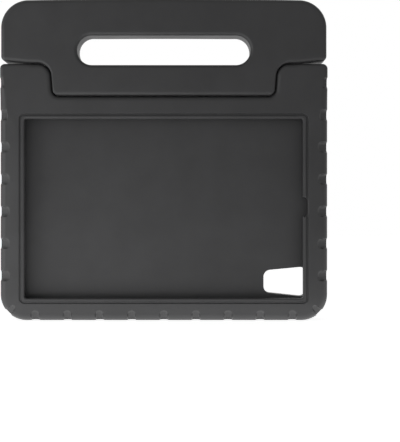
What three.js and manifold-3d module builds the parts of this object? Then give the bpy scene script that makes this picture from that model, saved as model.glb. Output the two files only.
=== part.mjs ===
// A child's moulded foam case for a small tablet, with a carrying handle that folds back as a foot.
// Millimetres, +Z up, +X to the right, the open front towards -Y, the origin under the middle of the base.
import * as THREE from "three";
import { mergeVertices } from "three/addons/utils/BufferGeometryUtils.js";
import Module from "manifold-3d";

const wasm = await Module();
wasm.setup();

// The tablet that the pocket holds, and how it fits
const tabletWidth = 195.4;
const tabletHeight = 134.8;
const tabletDepth = 6.3;
const tabletCorner = 10.5;
const pocketFit = 0.3;

// Foam round the pocket: at its sides, below, above, in front and behind
const sideWall = 8;
const bottomWall = 4.7;
const topWall = 25.9;
const lipThickness = 4.3;
const backWall = 12.8;

// Outer form of the body
const bodyWidth = tabletWidth + 2 * (pocketFit + sideWall);
const bodyHeight = tabletHeight + 2 * pocketFit + bottomWall + topWall;
const bodyDepth = lipThickness + tabletDepth + 2 * pocketFit + backWall;
const bodyCorner = 16.8;
const shoulderCorner = 3.2;
const shoulderInnerCorner = 8.5;
const frontEdge = 4.7;
const backEdge = 6.8;
const recessEdge = 3.3;
const smallEdge = 2.4;
const bezelSlopeWidth = 6.5;
const bezelDrop = 0.7;
const slopeFadeLow = 46;
const slopeFadeHigh = 26;
const edgeFadeHigh = 6;
const shoulderFlat = 14;
const nubHeight = 0.8;

// Window over the screen, as the lip's reach over the pocket's sides and ends
const sideLip = 8;
const endLip = 9.7;
const windowCorner = 1.2;
const windowChamfer = 1.1;
const grooveOffset = 3.4;
const grooveWidth = 1.3;
const grooveDepth = 0.9;
const grooveCorner = 3.6;
const lensNotchHeight = 12.5;
const lensNotchDepth = 3.2;
const lensNotchRise = 1.1;

// Thumb notches round the rim
const notchWidth = 6.4;
const notchDepth = 1.0;
const notchesBelow = 9;
const notchesEachSide = 7;
const baseNotchInset = 22.8;
const sideNotchLow = 29;
const sideNotchHigh = 12.2;

// Hinge between the shoulders and the handle's tongue
const knuckleRadius = 10.35;
const seamGap = 0.4;
const foldLimit = 100;
const shoulderWidth = 33.6;
const tongueDraft = 1.6;
const tongueCorner = 4.4;
const barrelInset = 0.2;
const pinRadius = 3;
const pinHeadRadius = 4.6;
const pinHeadLength = 2.5;
const pinInHandle = 24;
const pinInBody = 20;
const bushWall = 1.7;
const runningFit = 0.3;

// Handle
const handleInset = 0.7;
const handleRise = 40.9;
const handleCrown = 1.2;
const handleCorner = 17.5;
const handleEdge = 2.8;
const handleCrease = 1.8;
const handleEndRound = 5.5;
const wingCorner = 3.2;
const wingRise = 1.7;
const wingRiseLength = 18;
const wingBackRound = 5;
const backArc = 84;
const swellHeight = 1.3;
const swellInset = 32.4;
const swellSpread = 20;
const swellStart = 12;
const swellFull = 40;
const slotInset = 16.4;
const slotHeight = 19;
const slotRise = 9.6;
const slotFlare = 2.6;

// Pen channel along the back of the base
const channelInset = 19;
const channelHeight = 8.6;
const channelLip = 1.8;
const channelDepth = 9.6;
const channelCorner = 1.6;

// Openings for the tablet's camera, keys, socket and sound
const cameraInset = 12.6;
const cameraWidth = 28.4;
const cameraLow = 14.6;
const cameraHigh = 34.7;
const cameraInnerLow = 17.6;
const cameraInnerHigh = 32;
const cameraCorner = 4.6;
const cameraBevel = 1.6;
const keyReach = 8.4;
const keySlope = 3.6;
const powerKeyAboveBase = [17, 28.5];
const socketRightAboveMiddle = [-3.8, 3.2];
const volumeKeysBelowPocketTop = [37.1, 18.1];
const socketLeftAboveMiddle = [-7, 7];
const soundHoleRadius = 2;
const soundHoleInset = 8.2;
const soundHolesRightAboveMiddle = [-30, -24.2, 24.8];
const soundHolesLeftFromMiddle = [29, 34.4, 39.7, 45];

// Raised studs on the back
const innerStudInset = 23;
const innerStudRadius = 2.35;
const innerStudRise = 19.7;
const outerStudInset = 13.5;
const outerStudRadius = 2.7;
const outerStudRise = 30.1;
const studsInRow = 5;

// Colours of the foam and of the hinge's hard plastic
const foamColour = 0x2b2b2c;
const plasticColour = 0x3a3b3d;

// Planes and places that follow from the sizes above
const frontY = -(bodyDepth + nubHeight) / 2;
const backY = frontY + bodyDepth;
const halfWidth = bodyWidth / 2;
const tongueHalf = halfWidth - shoulderWidth;
const handleWidth = bodyWidth - 2 * handleInset;
const handleTop = bodyHeight + handleRise;
const swellPlace = tongueHalf - swellInset;
const slotWidth = 2 * (tongueHalf - slotInset);
const channelLength = bodyWidth - 2 * channelInset;
const cameraOuter = halfWidth - cameraInset;
const cameraInner = cameraOuter - cameraWidth;
const axisY = backY - knuckleRadius;
const axisZ = bodyHeight - knuckleRadius;
const recessFloor = axisZ - knuckleRadius - seamGap;
const wingBottom = bodyHeight + seamGap;
const knuckleX = tongueHalf + seamGap;
const pocketHalf = tabletWidth / 2 + pocketFit;
const pocketBottom = bottomWall;
const pocketTop = pocketBottom + tabletHeight + 2 * pocketFit;
const pocketMiddle = (pocketBottom + pocketTop) / 2;
const windowWidth = 2 * (pocketHalf - sideLip);
const windowHeight = pocketTop - pocketBottom - 2 * endLip;
const baseNotchPitch = (bodyWidth - 2 * baseNotchInset) / (notchesBelow - 1);
const sideNotchPitch = (bodyHeight - sideNotchHigh - sideNotchLow) / (notchesEachSide - 1);
const powerKey = powerKeyAboveBase;
const socketRight = socketRightAboveMiddle.map((z) => pocketMiddle + z);
const volumeKeys = volumeKeysBelowPocketTop.map((z) => pocketTop - z);
const socketLeft = socketLeftAboveMiddle.map((z) => pocketMiddle + z);
const soundHolesRight = soundHolesRightAboveMiddle.map((z) => pocketMiddle + z);
const soundHolesLeft = soundHolesLeftFromMiddle.flatMap((z) => [pocketMiddle - z, pocketMiddle + z]);
const pocketFront = frontY + lipThickness;
const pocketBack = pocketFront + tabletDepth + 2 * pocketFit;
const foldOverrun = THREE.MathUtils.degToRad(foldLimit - 90);
const outside = 40;

// Rounding of a number to a step between two edges, 0 below and 1 above, with smooth ends
const ease = (value, low, high) => THREE.MathUtils.smoothstep(value, low, high);

// A closed geometry as a solid for joining and cutting
function solidOf(geometry) {
  const bare = geometry.clone();
  bare.deleteAttribute("normal");
  bare.deleteAttribute("uv");
  const merged = mergeVertices(bare, 1e-5);
  const mesh = new wasm.Mesh({
    numProp: 3,
    vertProperties: merged.attributes.position.array,
    triVerts: new Uint32Array(merged.index.array),
  });
  return new wasm.Manifold(mesh);
}

function geometryOf(solid) {
  const mesh = solid.getMesh();
  const geometry = new THREE.BufferGeometry();
  geometry.setAttribute("position", new THREE.BufferAttribute(mesh.vertProperties, 3));
  geometry.setIndex(new THREE.BufferAttribute(mesh.triVerts, 1));
  geometry.computeVertexNormals();
  return geometry;
}

// A skin over rings of equally many points, closed by a cap at each end.
// The rings run anticlockwise as seen from the first ring's side, and flat(p) gives a cap's plane.
function loft(rings, flat) {
  const count = rings[0].length;
  const positions = rings.flat().flatMap((p) => [p.x, p.y, p.z]);
  const index = [];
  for (let k = 0; k + 1 < rings.length; k++) {
    for (let i = 0; i < count; i++) {
      const j = (i + 1) % count;
      const a = k * count + i;
      const b = k * count + j;
      index.push(a, a + count, b + count, a, b + count, b);
    }
  }
  const last = (rings.length - 1) * count;
  for (const [a, b, c] of THREE.ShapeUtils.triangulateShape(rings[0].map(flat), [])) {
    index.push(a, b, c);
  }
  for (const [a, b, c] of THREE.ShapeUtils.triangulateShape(rings.at(-1).map(flat), [])) {
    index.push(last + a, last + c, last + b);
  }
  const geometry = new THREE.BufferGeometry();
  geometry.setAttribute("position", new THREE.Float32BufferAttribute(positions, 3));
  geometry.setIndex(index);
  return solidOf(geometry);
}

const flatXZ = (p) => new THREE.Vector2(p.x, p.z);
const flatYZ = (p) => new THREE.Vector2(-p.y, p.z);

// An outline in X and Z with its corners rounded: each corner is [x, z, radius], anticlockwise.
function outline(corners, degreesPerStep = 15) {
  const points = [];
  corners.forEach(([x, z, radius = 0], i) => {
    const here = new THREE.Vector2(x, z);
    const [px, pz] = corners.at(i - 1);
    const [nx, nz] = corners[(i + 1) % corners.length];
    const before = new THREE.Vector2(px, pz).sub(here).normalize();
    const after = new THREE.Vector2(nx, nz).sub(here).normalize();
    const angle = Math.acos(THREE.MathUtils.clamp(before.dot(after), -1, 1));
    if (radius === 0 || angle > Math.PI - 0.01) {
      points.push(here);
      return;
    }
    const setback = radius / Math.tan(angle / 2);
    const centre = before.clone().add(after).normalize();
    centre.multiplyScalar(radius / Math.sin(angle / 2)).add(here);
    const start = before.clone().multiplyScalar(setback).add(here).sub(centre);
    const turn = Math.PI - angle;
    const left = before.cross(after) < 0 ? 1 : -1;
    const steps = Math.max(2, Math.round(THREE.MathUtils.radToDeg(turn) / degreesPerStep));
    for (let k = 0; k <= steps; k++) {
      const origin = new THREE.Vector2();
      points.push(start.clone().rotateAround(origin, (left * turn * k) / steps).add(centre));
    }
  });
  return points;
}

// The outward direction at each point, long enough to move both of its edges by one unit
function outwards(points) {
  return points.map((p, i) => {
    const into = p.clone().sub(points.at(i - 1)).normalize();
    const out = points[(i + 1) % points.length].clone().sub(p).normalize();
    const sum = new THREE.Vector2(into.y + out.y, -into.x - out.x);
    return sum.multiplyScalar(2 / sum.lengthSq());
  });
}

// One ring of a loft along Y: an outline moved outwards by grow(i), at the depth y(i)
function ringXZ(points, normals, grow, y) {
  return points.map((p, i) => {
    const g = grow(i);
    return new THREE.Vector3(p.x + normals[i].x * g, y(i), p.y + normals[i].y * g);
  });
}

// A straight prism along Y, wider by flare at its front end and its back end where those are given
function prismY(points, y0, y1, flareFront = 0, flareBack = 0) {
  const normals = outwards(points);
  const level = (grow, y) => ringXZ(points, normals, () => grow, () => y);
  const rings = [level(flareFront, y0)];
  if (flareFront) {
    rings.push(level(0, y0 + flareFront));
  }
  if (flareBack) {
    rings.push(level(0, y1 - flareBack));
  }
  rings.push(level(flareBack, y1));
  return loft(rings, flatXZ);
}

function rectangle(halfX, z0, z1, radius, middleX = 0) {
  return [
    [middleX - halfX, z0, radius],
    [middleX + halfX, z0, radius],
    [middleX + halfX, z1, radius],
    [middleX - halfX, z1, radius],
  ];
}

// A prism along X of a shape drawn in Y and Z
function prismX(shape, x0, x1, curveSegments = 10) {
  const geometry = new THREE.ExtrudeGeometry(shape, {
    depth: x1 - x0,
    bevelEnabled: false,
    curveSegments,
  });
  const axes = new THREE.Matrix4().makeBasis(
    new THREE.Vector3(0, 1, 0),
    new THREE.Vector3(0, 0, 1),
    new THREE.Vector3(1, 0, 0),
  );
  geometry.applyMatrix4(axes).translate(x0, 0, 0);
  return solidOf(geometry);
}

// A turned piece on the hinge axis: its profile is [radius, distance outwards from x = 0]
function turnedOnAxis(profile, side, segments = 24) {
  const points = profile.map(([r, x]) => new THREE.Vector2(r, x));
  const geometry = new THREE.LatheGeometry(points, segments);
  geometry.rotateZ(-Math.PI / 2);
  if (side < 0) {
    geometry.rotateY(Math.PI);
  }
  geometry.translate(0, axisY, axisZ);
  return solidOf(geometry);
}

// Notch places along the base and the sides
const inRow = (count, first, pitch) => Array.from({ length: count }, (_, i) => first + i * pitch);
const baseNotches = inRow(notchesBelow, baseNotchInset - halfWidth, baseNotchPitch);
const sideNotches = inRow(notchesEachSide, sideNotchLow, sideNotchPitch);
const notchStations = [-0.5, -0.25, 0, 0.25, 0.5].map((share) => share * notchWidth);

// How deep the rim is cut at a point of the outline, as a share of the full notch depth
function notchShare(p) {
  const along = (distance) => Math.max(0, 1 - (2 * distance / notchWidth) ** 2);
  if (p.y < 1e-6) {
    return Math.max(...baseNotches.map((x) => along(p.x - x)));
  }
  if (Math.abs(p.x) > halfWidth - 1e-6) {
    return Math.max(...sideNotches.map((z) => along(p.y - z)));
  }
  if (p.y < bodyCorner) {
    const aside = Math.abs(p.x) - (halfWidth - bodyCorner);
    const angle = Math.atan2(aside, bodyCorner - p.y);
    return along(bodyCorner * (angle - Math.PI / 4));
  }
  return 0;
}

// The body's outline as seen from the front, with points where the notches need them
function bodyOutline() {
  const half = halfWidth;
  const base = baseNotches.flatMap((x) => notchStations.map((s) => [x + s, 0]));
  const right = sideNotches.flatMap((z) => notchStations.map((s) => [half, z + s]));
  const left = right.map(([x, z]) => [-x, z]).reverse();
  const inner = [
    [knuckleX + tongueDraft / 2, bodyHeight, shoulderInnerCorner],
    [knuckleX - tongueDraft / 2, recessFloor, tongueCorner + seamGap],
  ];
  return outline(
    [
      [-half, 0, bodyCorner],
      ...base,
      [half, 0, bodyCorner],
      ...right,
      [half, bodyHeight, shoulderCorner],
      ...inner,
      ...inner.map(([x, z, r]) => [-x, z, r]).reverse(),
      [-half, bodyHeight, shoulderCorner],
      ...left,
    ],
    11.25,
  );
}

// The body's block: rings from the front face, over the rim, to the back face.
// The rim is a quarter round at the front and a larger one at the back, and smaller round the recess.
function bodyBlock() {
  const points = bodyOutline();
  const normals = outwards(points);
  const pastRecess = (p) => Math.abs(p.x) > knuckleX + shoulderFlat || p.y < bodyHeight / 2;
  const onSide = points.map((p) => (pastRecess(p) ? 1 : 0));
  const fadeTop = bodyHeight - slopeFadeHigh;
  const low = points.map((p) => 1 - ease(p.y, fadeTop, bodyHeight - edgeFadeHigh));
  const edgeSize = (i, size) =>
    onSide[i] ? THREE.MathUtils.lerp(smallEdge, size, low[i]) : recessEdge;
  const slope = points.map((p, i) => onSide[i] * (1 - ease(p.y, bodyHeight - slopeFadeLow, fadeTop)));
  const share = points.map(notchShare);
  const front = (i) => frontY + bezelDrop * slope[i];
  const quarter = [0, 22.5, 45, 67.5, 90].map(THREE.MathUtils.degToRad);
  const rings = [
    ringXZ(points, normals, (i) => -edgeSize(i, frontEdge) - bezelSlopeWidth * slope[i], () => frontY),
  ];
  quarter.forEach((angle, k) => {
    const cut = k === 0 ? 0.35 : 1;
    const grow = (i) => {
      const edge = edgeSize(i, frontEdge);
      return edge * (Math.sin(angle) - 1) - cut * share[i] * notchDepth * Math.max(Math.sin(angle), 0.5);
    };
    const y = (i) => {
      const edge = edgeSize(i, frontEdge);
      return front(i) + edge * (1 - Math.cos(angle)) + cut * share[i] * notchDepth * Math.cos(angle);
    };
    rings.push(ringXZ(points, normals, grow, y));
  });
  quarter.forEach((_, k) => {
    const angle = quarter.at(-1 - k);
    const cut = k === quarter.length - 1 ? 0 : 1;
    const grow = (i) => {
      const edge = edgeSize(i, backEdge);
      return edge * (Math.sin(angle) - 1) - cut * share[i] * notchDepth * Math.sin(angle);
    };
    const y = (i) => {
      const edge = edgeSize(i, backEdge);
      return backY - edge * (1 - Math.cos(angle)) - cut * share[i] * notchDepth * Math.cos(angle);
    };
    rings.push(ringXZ(points, normals, grow, y));
  });
  return loft(rings, flatXZ);
}

// The room that the tongue turns in: the knuckle's circle, and everything above and behind it
// down to a plane that the folded handle's back face reaches at the fold limit.
function tongueRoom() {
  const radius = knuckleRadius + seamGap;
  const shape = new THREE.Shape();
  const from = -Math.PI / 2 - foldOverrun;
  const drop = (radius + outside * Math.sin(foldOverrun)) / Math.cos(foldOverrun);
  shape.moveTo(axisY + outside, axisZ + outside);
  shape.lineTo(axisY, axisZ + outside);
  shape.lineTo(axisY, axisZ + radius);
  shape.absarc(axisY, axisZ, radius, Math.PI / 2, 2 * Math.PI + from, false);
  shape.lineTo(axisY + outside, axisZ - drop);
  shape.closePath();
  return prismX(shape, -knuckleX, knuckleX, 20);
}

// What the quarter round behind the hinge axis takes off the shoulders
function shoulderRounding() {
  const shape = new THREE.Shape();
  shape.moveTo(axisY, axisZ + knuckleRadius);
  shape.absarc(axisY, axisZ, knuckleRadius, Math.PI / 2, 0, true);
  shape.lineTo(axisY + outside, axisZ);
  shape.lineTo(axisY + outside, axisZ + outside);
  shape.lineTo(axisY, axisZ + outside);
  shape.closePath();
  return prismX(shape, -halfWidth - 1, halfWidth + 1, 8);
}

// The round end of a shoulder that the handle turns about
function knuckle(side) {
  const shape = new THREE.Shape();
  shape.absarc(axisY, axisZ, knuckleRadius, 0, 2 * Math.PI, false);
  const inner = knuckleX;
  const outer = knuckleX + tongueDraft + shoulderInnerCorner + 2;
  return side > 0 ? prismX(shape, inner, outer, 14) : prismX(shape, -outer, -inner, 14);
}

function grooveRing() {
  const half = windowWidth / 2 + grooveOffset;
  const z0 = pocketMiddle - windowHeight / 2 - grooveOffset;
  const z1 = pocketMiddle + windowHeight / 2 + grooveOffset;
  const outer = outline(rectangle(half, z0, z1, grooveCorner), 22.5);
  const inner = outline(
    rectangle(half - grooveWidth, z0 + grooveWidth, z1 - grooveWidth, grooveCorner - grooveWidth),
    22.5,
  );
  const ring = prismY(outer, frontY - 1, frontY + grooveDepth);
  return ring.subtract(prismY(inner, frontY - 2, frontY + grooveDepth + 1));
}

function windowCut() {
  const z0 = pocketMiddle - windowHeight / 2;
  const z1 = pocketMiddle + windowHeight / 2;
  const hole = outline(rectangle(windowWidth / 2, z0, z1, windowCorner), 45);
  const straight = prismY(hole, frontY + windowChamfer / 2, pocketFront + 1);
  const mouth = prismY(hole, frontY - windowChamfer, frontY + windowChamfer, 2 * windowChamfer);
  return straight.add(mouth);
}

function lensNotch() {
  const middle = pocketMiddle + lensNotchRise;
  const x = windowWidth / 2;
  const corners = rectangle(
    lensNotchDepth,
    middle - lensNotchHeight / 2,
    middle + lensNotchHeight / 2,
    lensNotchDepth * 0.8,
    x,
  );
  return prismY(outline(corners, 30), frontY - 1, pocketFront + 1);
}

function pocket() {
  const corners = rectangle(pocketHalf, pocketBottom, pocketTop, tabletCorner + pocketFit);
  return prismY(outline(corners, 18), pocketFront, pocketBack);
}

function penChannel() {
  const corners = rectangle(channelLength / 2, channelLip, channelLip + channelHeight, channelCorner);
  return prismY(outline(corners, 45), backY - channelDepth, backY + 2, 0, 0);
}

// The camera's opening narrows towards the lamp and flares at the back face
function cameraHole() {
  const corners = [
    [cameraInner, cameraInnerLow, cameraCorner],
    [cameraOuter, cameraLow, cameraCorner],
    [cameraOuter, cameraHigh, cameraCorner],
    [cameraInner, cameraInnerHigh, cameraCorner],
  ];
  const hole = outline(corners, 22.5);
  const mouth = prismY(hole, backY - 2 * cameraBevel, backY + cameraBevel, 0, 2 * cameraBevel);
  return prismY(hole, pocketBack - 1, backY - cameraBevel / 2).add(mouth);
}

// A cut through the side wall and the back's edge, with a floor that slopes to the outside
function sideCut([z0, z1], side) {
  const inner = halfWidth - keyReach;
  const outer = halfWidth + 2;
  const deep = pocketFront + 1;
  const shape = new THREE.Shape();
  shape.moveTo(inner, deep);
  shape.lineTo(outer, deep + keySlope);
  shape.lineTo(outer, backY + 2);
  shape.lineTo(inner, backY + 2);
  shape.closePath();
  const geometry = new THREE.ExtrudeGeometry(shape, {
    depth: z1 - z0 - 1.2,
    bevelThickness: 0.6,
    bevelSize: 0.6,
    bevelOffset: -0.6,
    bevelSegments: 1,
  });
  geometry.translate(0, 0, z0 + 0.6);
  const cut = solidOf(geometry);
  return side > 0 ? cut : cut.mirror([1, 0, 0]);
}

function soundHole(z, side) {
  const x = side * (halfWidth - soundHoleInset);
  const middle = (pocketFront + pocketBack) / 2;
  const length = backY + 1 - middle;
  const geometry = new THREE.CylinderGeometry(soundHoleRadius, soundHoleRadius, length, 14);
  geometry.translate(x, middle + length / 2, z);
  return solidOf(geometry);
}

// A low dome on the back face
function stud(x, z, radius) {
  const sphere = (radius ** 2 + nubHeight ** 2) / (2 * nubHeight);
  const reach = Math.asin(radius / sphere);
  const profile = [new THREE.Vector2(0, -1), new THREE.Vector2(radius, -1)];
  for (let k = 0; k <= 3; k++) {
    const angle = reach * (1 - k / 3);
    profile.push(new THREE.Vector2(sphere * Math.sin(angle), nubHeight - sphere * (1 - Math.cos(angle))));
  }
  profile.at(-1).x = 0;
  const geometry = new THREE.LatheGeometry(profile, 12);
  geometry.translate(x, backY, z);
  return solidOf(geometry);
}

function studs() {
  const rows = [
    [innerStudInset, innerStudRadius, sideNotchLow + innerStudRise],
    [outerStudInset, outerStudRadius, sideNotchLow + outerStudRise],
  ];
  const all = [];
  for (const side of [-1, 1]) {
    for (const [inset, radius, lowest] of rows) {
      for (let i = 0; i < studsInRow; i++) {
        all.push(stud(side * (halfWidth - inset), lowest + i * sideNotchPitch, radius));
      }
    }
  }
  return all.reduce((sum, one) => sum.add(one));
}

// The blind bore in a shoulder for the bush and the pin's tip
function bushBore(side) {
  const radius = pinRadius + runningFit + bushWall + runningFit;
  const end = knuckleX + pinInBody + 2 * runningFit + 1;
  return turnedOnAxis([[0, knuckleX - 1], [radius, knuckleX - 1], [radius, end], [0, end]], side);
}

function makeBody() {
  let body = bodyBlock().subtract(shoulderRounding()).subtract(tongueRoom());
  for (const side of [-1, 1]) {
    body = body.add(knuckle(side)).subtract(bushBore(side));
  }
  body = body.add(studs());
  const cuts = [grooveRing(), windowCut(), lensNotch(), pocket(), penChannel(), cameraHole()];
  cuts.push(...[powerKey, socketRight, volumeKeys].map((range) => sideCut(range, 1)));
  cuts.push(sideCut(socketLeft, -1));
  cuts.push(...soundHolesRight.map((z) => soundHole(z, 1)));
  cuts.push(...soundHolesLeft.map((z) => soundHole(z, -1)));
  return cuts.reduce((left, cut) => left.subtract(cut), body);
}

// Lower edge of the handle at x: the tongue's bottom, its drafted side, and the wing's underside
const handleLower = (() => {
  const half = handleWidth / 2;
  const corners = [
    [-half, wingBottom + 30, 0],
    [-half, wingBottom + wingRise, wingCorner],
    [wingRiseLength - half, wingBottom, wingRiseLength],
    [-tongueHalf - tongueDraft / 2, wingBottom, shoulderInnerCorner + seamGap],
    [-tongueHalf + tongueDraft / 2, axisZ - knuckleRadius, tongueCorner],
    [0, axisZ - knuckleRadius, 0],
    [0, wingBottom + 30, 0],
  ];
  return outline(corners, 12).slice(1, -1);
})();

function lowerAt(x) {
  const at = -Math.abs(x);
  const k = Math.max(1, handleLower.findIndex((p) => p.x >= at - 1e-9));
  const a = handleLower[k - 1];
  const b = handleLower[k];
  const share = b.x - a.x < 1e-9 ? 1 : THREE.MathUtils.clamp((at - a.x) / (b.x - a.x), 0, 1);
  return THREE.MathUtils.lerp(a.y, b.y, share);
}

// Upper edge of the handle at x: a slight crown that ends in the round corners
function upperAt(x) {
  const half = handleWidth / 2;
  const into = Math.max(0, Math.abs(x) - (half - handleCorner));
  const corner = handleCorner - Math.sqrt(Math.max(0, handleCorner ** 2 - into ** 2));
  return handleTop + handleCrown * (1 - (x / half) ** 2) - corner;
}

// The handle's back face: an arc tangent to the body's back at the hinge, with two finger swells
function handleBack(x, z) {
  const rise = Math.max(0, z - axisZ);
  const arc = backArc - Math.sqrt(backArc ** 2 - rise ** 2);
  const swell = swellHeight * Math.exp(-(((Math.abs(x) - swellPlace) / swellSpread) ** 2));
  return backY - arc + swell * ease(rise, swellStart, swellFull);
}

// One section of the handle across X, as a ring in Y and Z that starts low on the front face.
// pull is how far the rounded ends draw the section in.
function handleSection(x, pull) {
  const low = lowerAt(x);
  const high = upperAt(x) - pull;
  const front = frontY + pull * 0.55;
  const edge = Math.min(handleEdge, (high - low) / 3);
  const quarter = [0, 30, 60, 90].map(THREE.MathUtils.degToRad);
  const ring = [];
  quarter.forEach((a) => ring.push([front + edge * (1 - Math.sin(a)), low + edge * (1 - Math.cos(a))]));
  quarter.forEach((a) => ring.push([front + edge * (1 - Math.cos(a)), high - edge * (1 - Math.sin(a))]));
  const crest = handleBack(x, high) - pull;
  const crease = Math.min(handleCrease, (crest - front) / 3);
  quarter.forEach((a) =>
    ring.push([crest - crease * (1 - Math.sin(a)), high - crease * (1 - Math.cos(a))]),
  );
  const stop = Math.max(low + wingBackRound, axisZ);
  for (let k = 1; k <= 9; k++) {
    const z = THREE.MathUtils.lerp(high - crease, stop, k / 9);
    ring.push([handleBack(x, z) - pull, z]);
  }
  const root = handleBack(x, stop) - pull;
  const inTongue = low < axisZ - 1;
  const roundY = inTongue ? root - axisY : wingBackRound;
  for (let k = 1; k <= 8; k++) {
    const a = (k / 8) * (Math.PI / 2);
    ring.push([root - roundY * (1 - Math.cos(a)), stop - (stop - low) * Math.sin(a)]);
  }
  return ring.map(([y, z]) => new THREE.Vector3(x, y, z));
}

// Where the handle is cut into sections: close together round its ends and its tongue's sides
function handleStations() {
  const half = handleWidth / 2;
  const ends = [0, 0.25, 0.7, 1.5, 2.7, 4.1, handleEndRound].map((d) => half - d);
  const cornerTurns = inRow(6, 0.24, 0.266);
  const corner = cornerTurns.map((turn) => half - handleCorner * (1 - Math.cos(turn)));
  const seam = handleLower.filter((p) => p.x > -half + wingCorner).map((p) => -p.x);
  const swells = inRow(6, swellPlace - swellSpread * 1.5, swellSpread / 2);
  const all = [...ends, ...corner, ...seam, ...swells].filter((x) => x > 0.5);
  const sorted = [...new Set(all.map((x) => Number(x.toFixed(4))))].sort((a, b) => b - a);
  const kept = sorted.filter((x, i) => i === 0 || sorted[i - 1] - x > 0.12);
  return [...kept.map((x) => -x), 0, ...kept.reverse()];
}

function handleBlock() {
  const half = handleWidth / 2;
  const rings = handleStations().map((x) => {
    const into = Math.max(0, Math.abs(x) - (half - handleEndRound));
    const pull = handleEndRound - Math.sqrt(Math.max(0, handleEndRound ** 2 - into ** 2));
    return handleSection(x, pull);
  });
  return loft(rings, flatYZ);
}

// The finger slot, flared on both faces of the handle
function fingerSlot() {
  const middle = axisZ + slotRise + slotHeight / 2;
  const corners = rectangle(
    slotWidth / 2,
    middle - slotHeight / 2,
    middle + slotHeight / 2,
    slotHeight / 2 - 0.05,
  );
  const points = outline(corners, 15);
  const normals = outwards(points);
  const back = (i) => handleBack(points[i].x, points[i].y);
  const level = (grow, y) => ringXZ(points, normals, () => grow, y);
  const steps = [0, 30, 60, 90].map(THREE.MathUtils.degToRad);
  const rings = [level(slotFlare, () => frontY - 1)];
  for (const a of steps) {
    rings.push(level(slotFlare * (1 - Math.sin(a)), () => frontY + slotFlare * (1 - Math.cos(a))));
  }
  for (const a of steps) {
    rings.push(level(slotFlare * (1 - Math.cos(a)), (i) => back(i) - slotFlare * (1 - Math.sin(a))));
  }
  rings.push(level(slotFlare, () => backY + 2));
  return loft(rings, flatXZ);
}

// The room above and behind a shoulder that the wing keeps clear of through the whole fold
function wingClearance(side) {
  const radius = knuckleRadius + seamGap;
  const rise = (radius + outside * Math.sin(foldOverrun)) / Math.cos(foldOverrun);
  const shape = new THREE.Shape();
  shape.moveTo(axisY + outside, axisZ - outside);
  shape.lineTo(axisY + outside, axisZ + rise);
  shape.absarc(axisY, axisZ, radius, Math.PI / 2 + foldOverrun, 1.5 * Math.PI, false);
  shape.lineTo(axisY, axisZ - outside);
  shape.closePath();
  const outer = halfWidth + 5;
  return side > 0 ? prismX(shape, tongueHalf, outer, 16) : prismX(shape, -outer, -tongueHalf, 16);
}

// The round barrel behind the tongue's rounded corners, which fills the room that the body leaves
function tongueBarrel() {
  const shape = new THREE.Shape();
  shape.absarc(axisY, axisZ, knuckleRadius - barrelInset, 0, 2 * Math.PI, false);
  const inner = tongueHalf - 2 * tongueCorner;
  const outer = tongueHalf - barrelInset;
  return prismX(shape, inner, outer, 16).add(prismX(shape, -outer, -inner, 16));
}

// The pin's profile, with its head moulded into the handle
function pinProfile(grow) {
  const head = tongueHalf - pinInHandle;
  const tip = knuckleX + pinInBody;
  return [
    [0, head - grow],
    [pinHeadRadius + grow, head - grow],
    [pinHeadRadius + grow, head + pinHeadLength + grow],
    [pinRadius + grow, head + pinHeadLength + grow],
    [pinRadius + grow, tip - 0.8],
    [pinRadius + grow - 0.8, tip + grow],
    [0, tip + grow],
  ];
}

function makeHandle() {
  let handle = handleBlock().add(tongueBarrel());
  for (const side of [-1, 1]) {
    handle = handle.subtract(wingClearance(side)).subtract(turnedOnAxis(pinProfile(runningFit), side));
  }
  return handle.subtract(fingerSlot());
}

function makeBush(side) {
  const bore = pinRadius + runningFit;
  const inner = knuckleX + runningFit;
  const outer = knuckleX + pinInBody - runningFit;
  const profile = [
    [bore, inner],
    [bore + bushWall - 0.4, inner],
    [bore + bushWall, inner + 0.4],
    [bore + bushWall, outer],
    [bore, outer],
    [bore, inner],
  ];
  return turnedOnAxis(profile, side);
}

// Assembly: the body stays, and the handle turns with its pins about the hinge axis
function piece(name, solid, material) {
  const mesh = new THREE.Mesh(geometryOf(solid), material);
  mesh.name = name;
  return mesh;
}

const foam = () => new THREE.MeshStandardMaterial({ color: foamColour, roughness: 0.72, metalness: 0 });
const plastic = () =>
  new THREE.MeshStandardMaterial({ color: plasticColour, roughness: 0.4, metalness: 0 });

const tabletCase = new THREE.Group();
tabletCase.add(piece("case_body", makeBody(), foam()));
tabletCase.add(piece("carry_handle", makeHandle(), foam()));
for (const [side, word] of [
  [-1, "left"],
  [1, "right"],
]) {
  tabletCase.add(piece("hinge_bush_" + word, makeBush(side), plastic()));
  tabletCase.add(piece("hinge_pin_" + word, turnedOnAxis(pinProfile(0), side), plastic()));
}

export default tabletCase;
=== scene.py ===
import math

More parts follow.
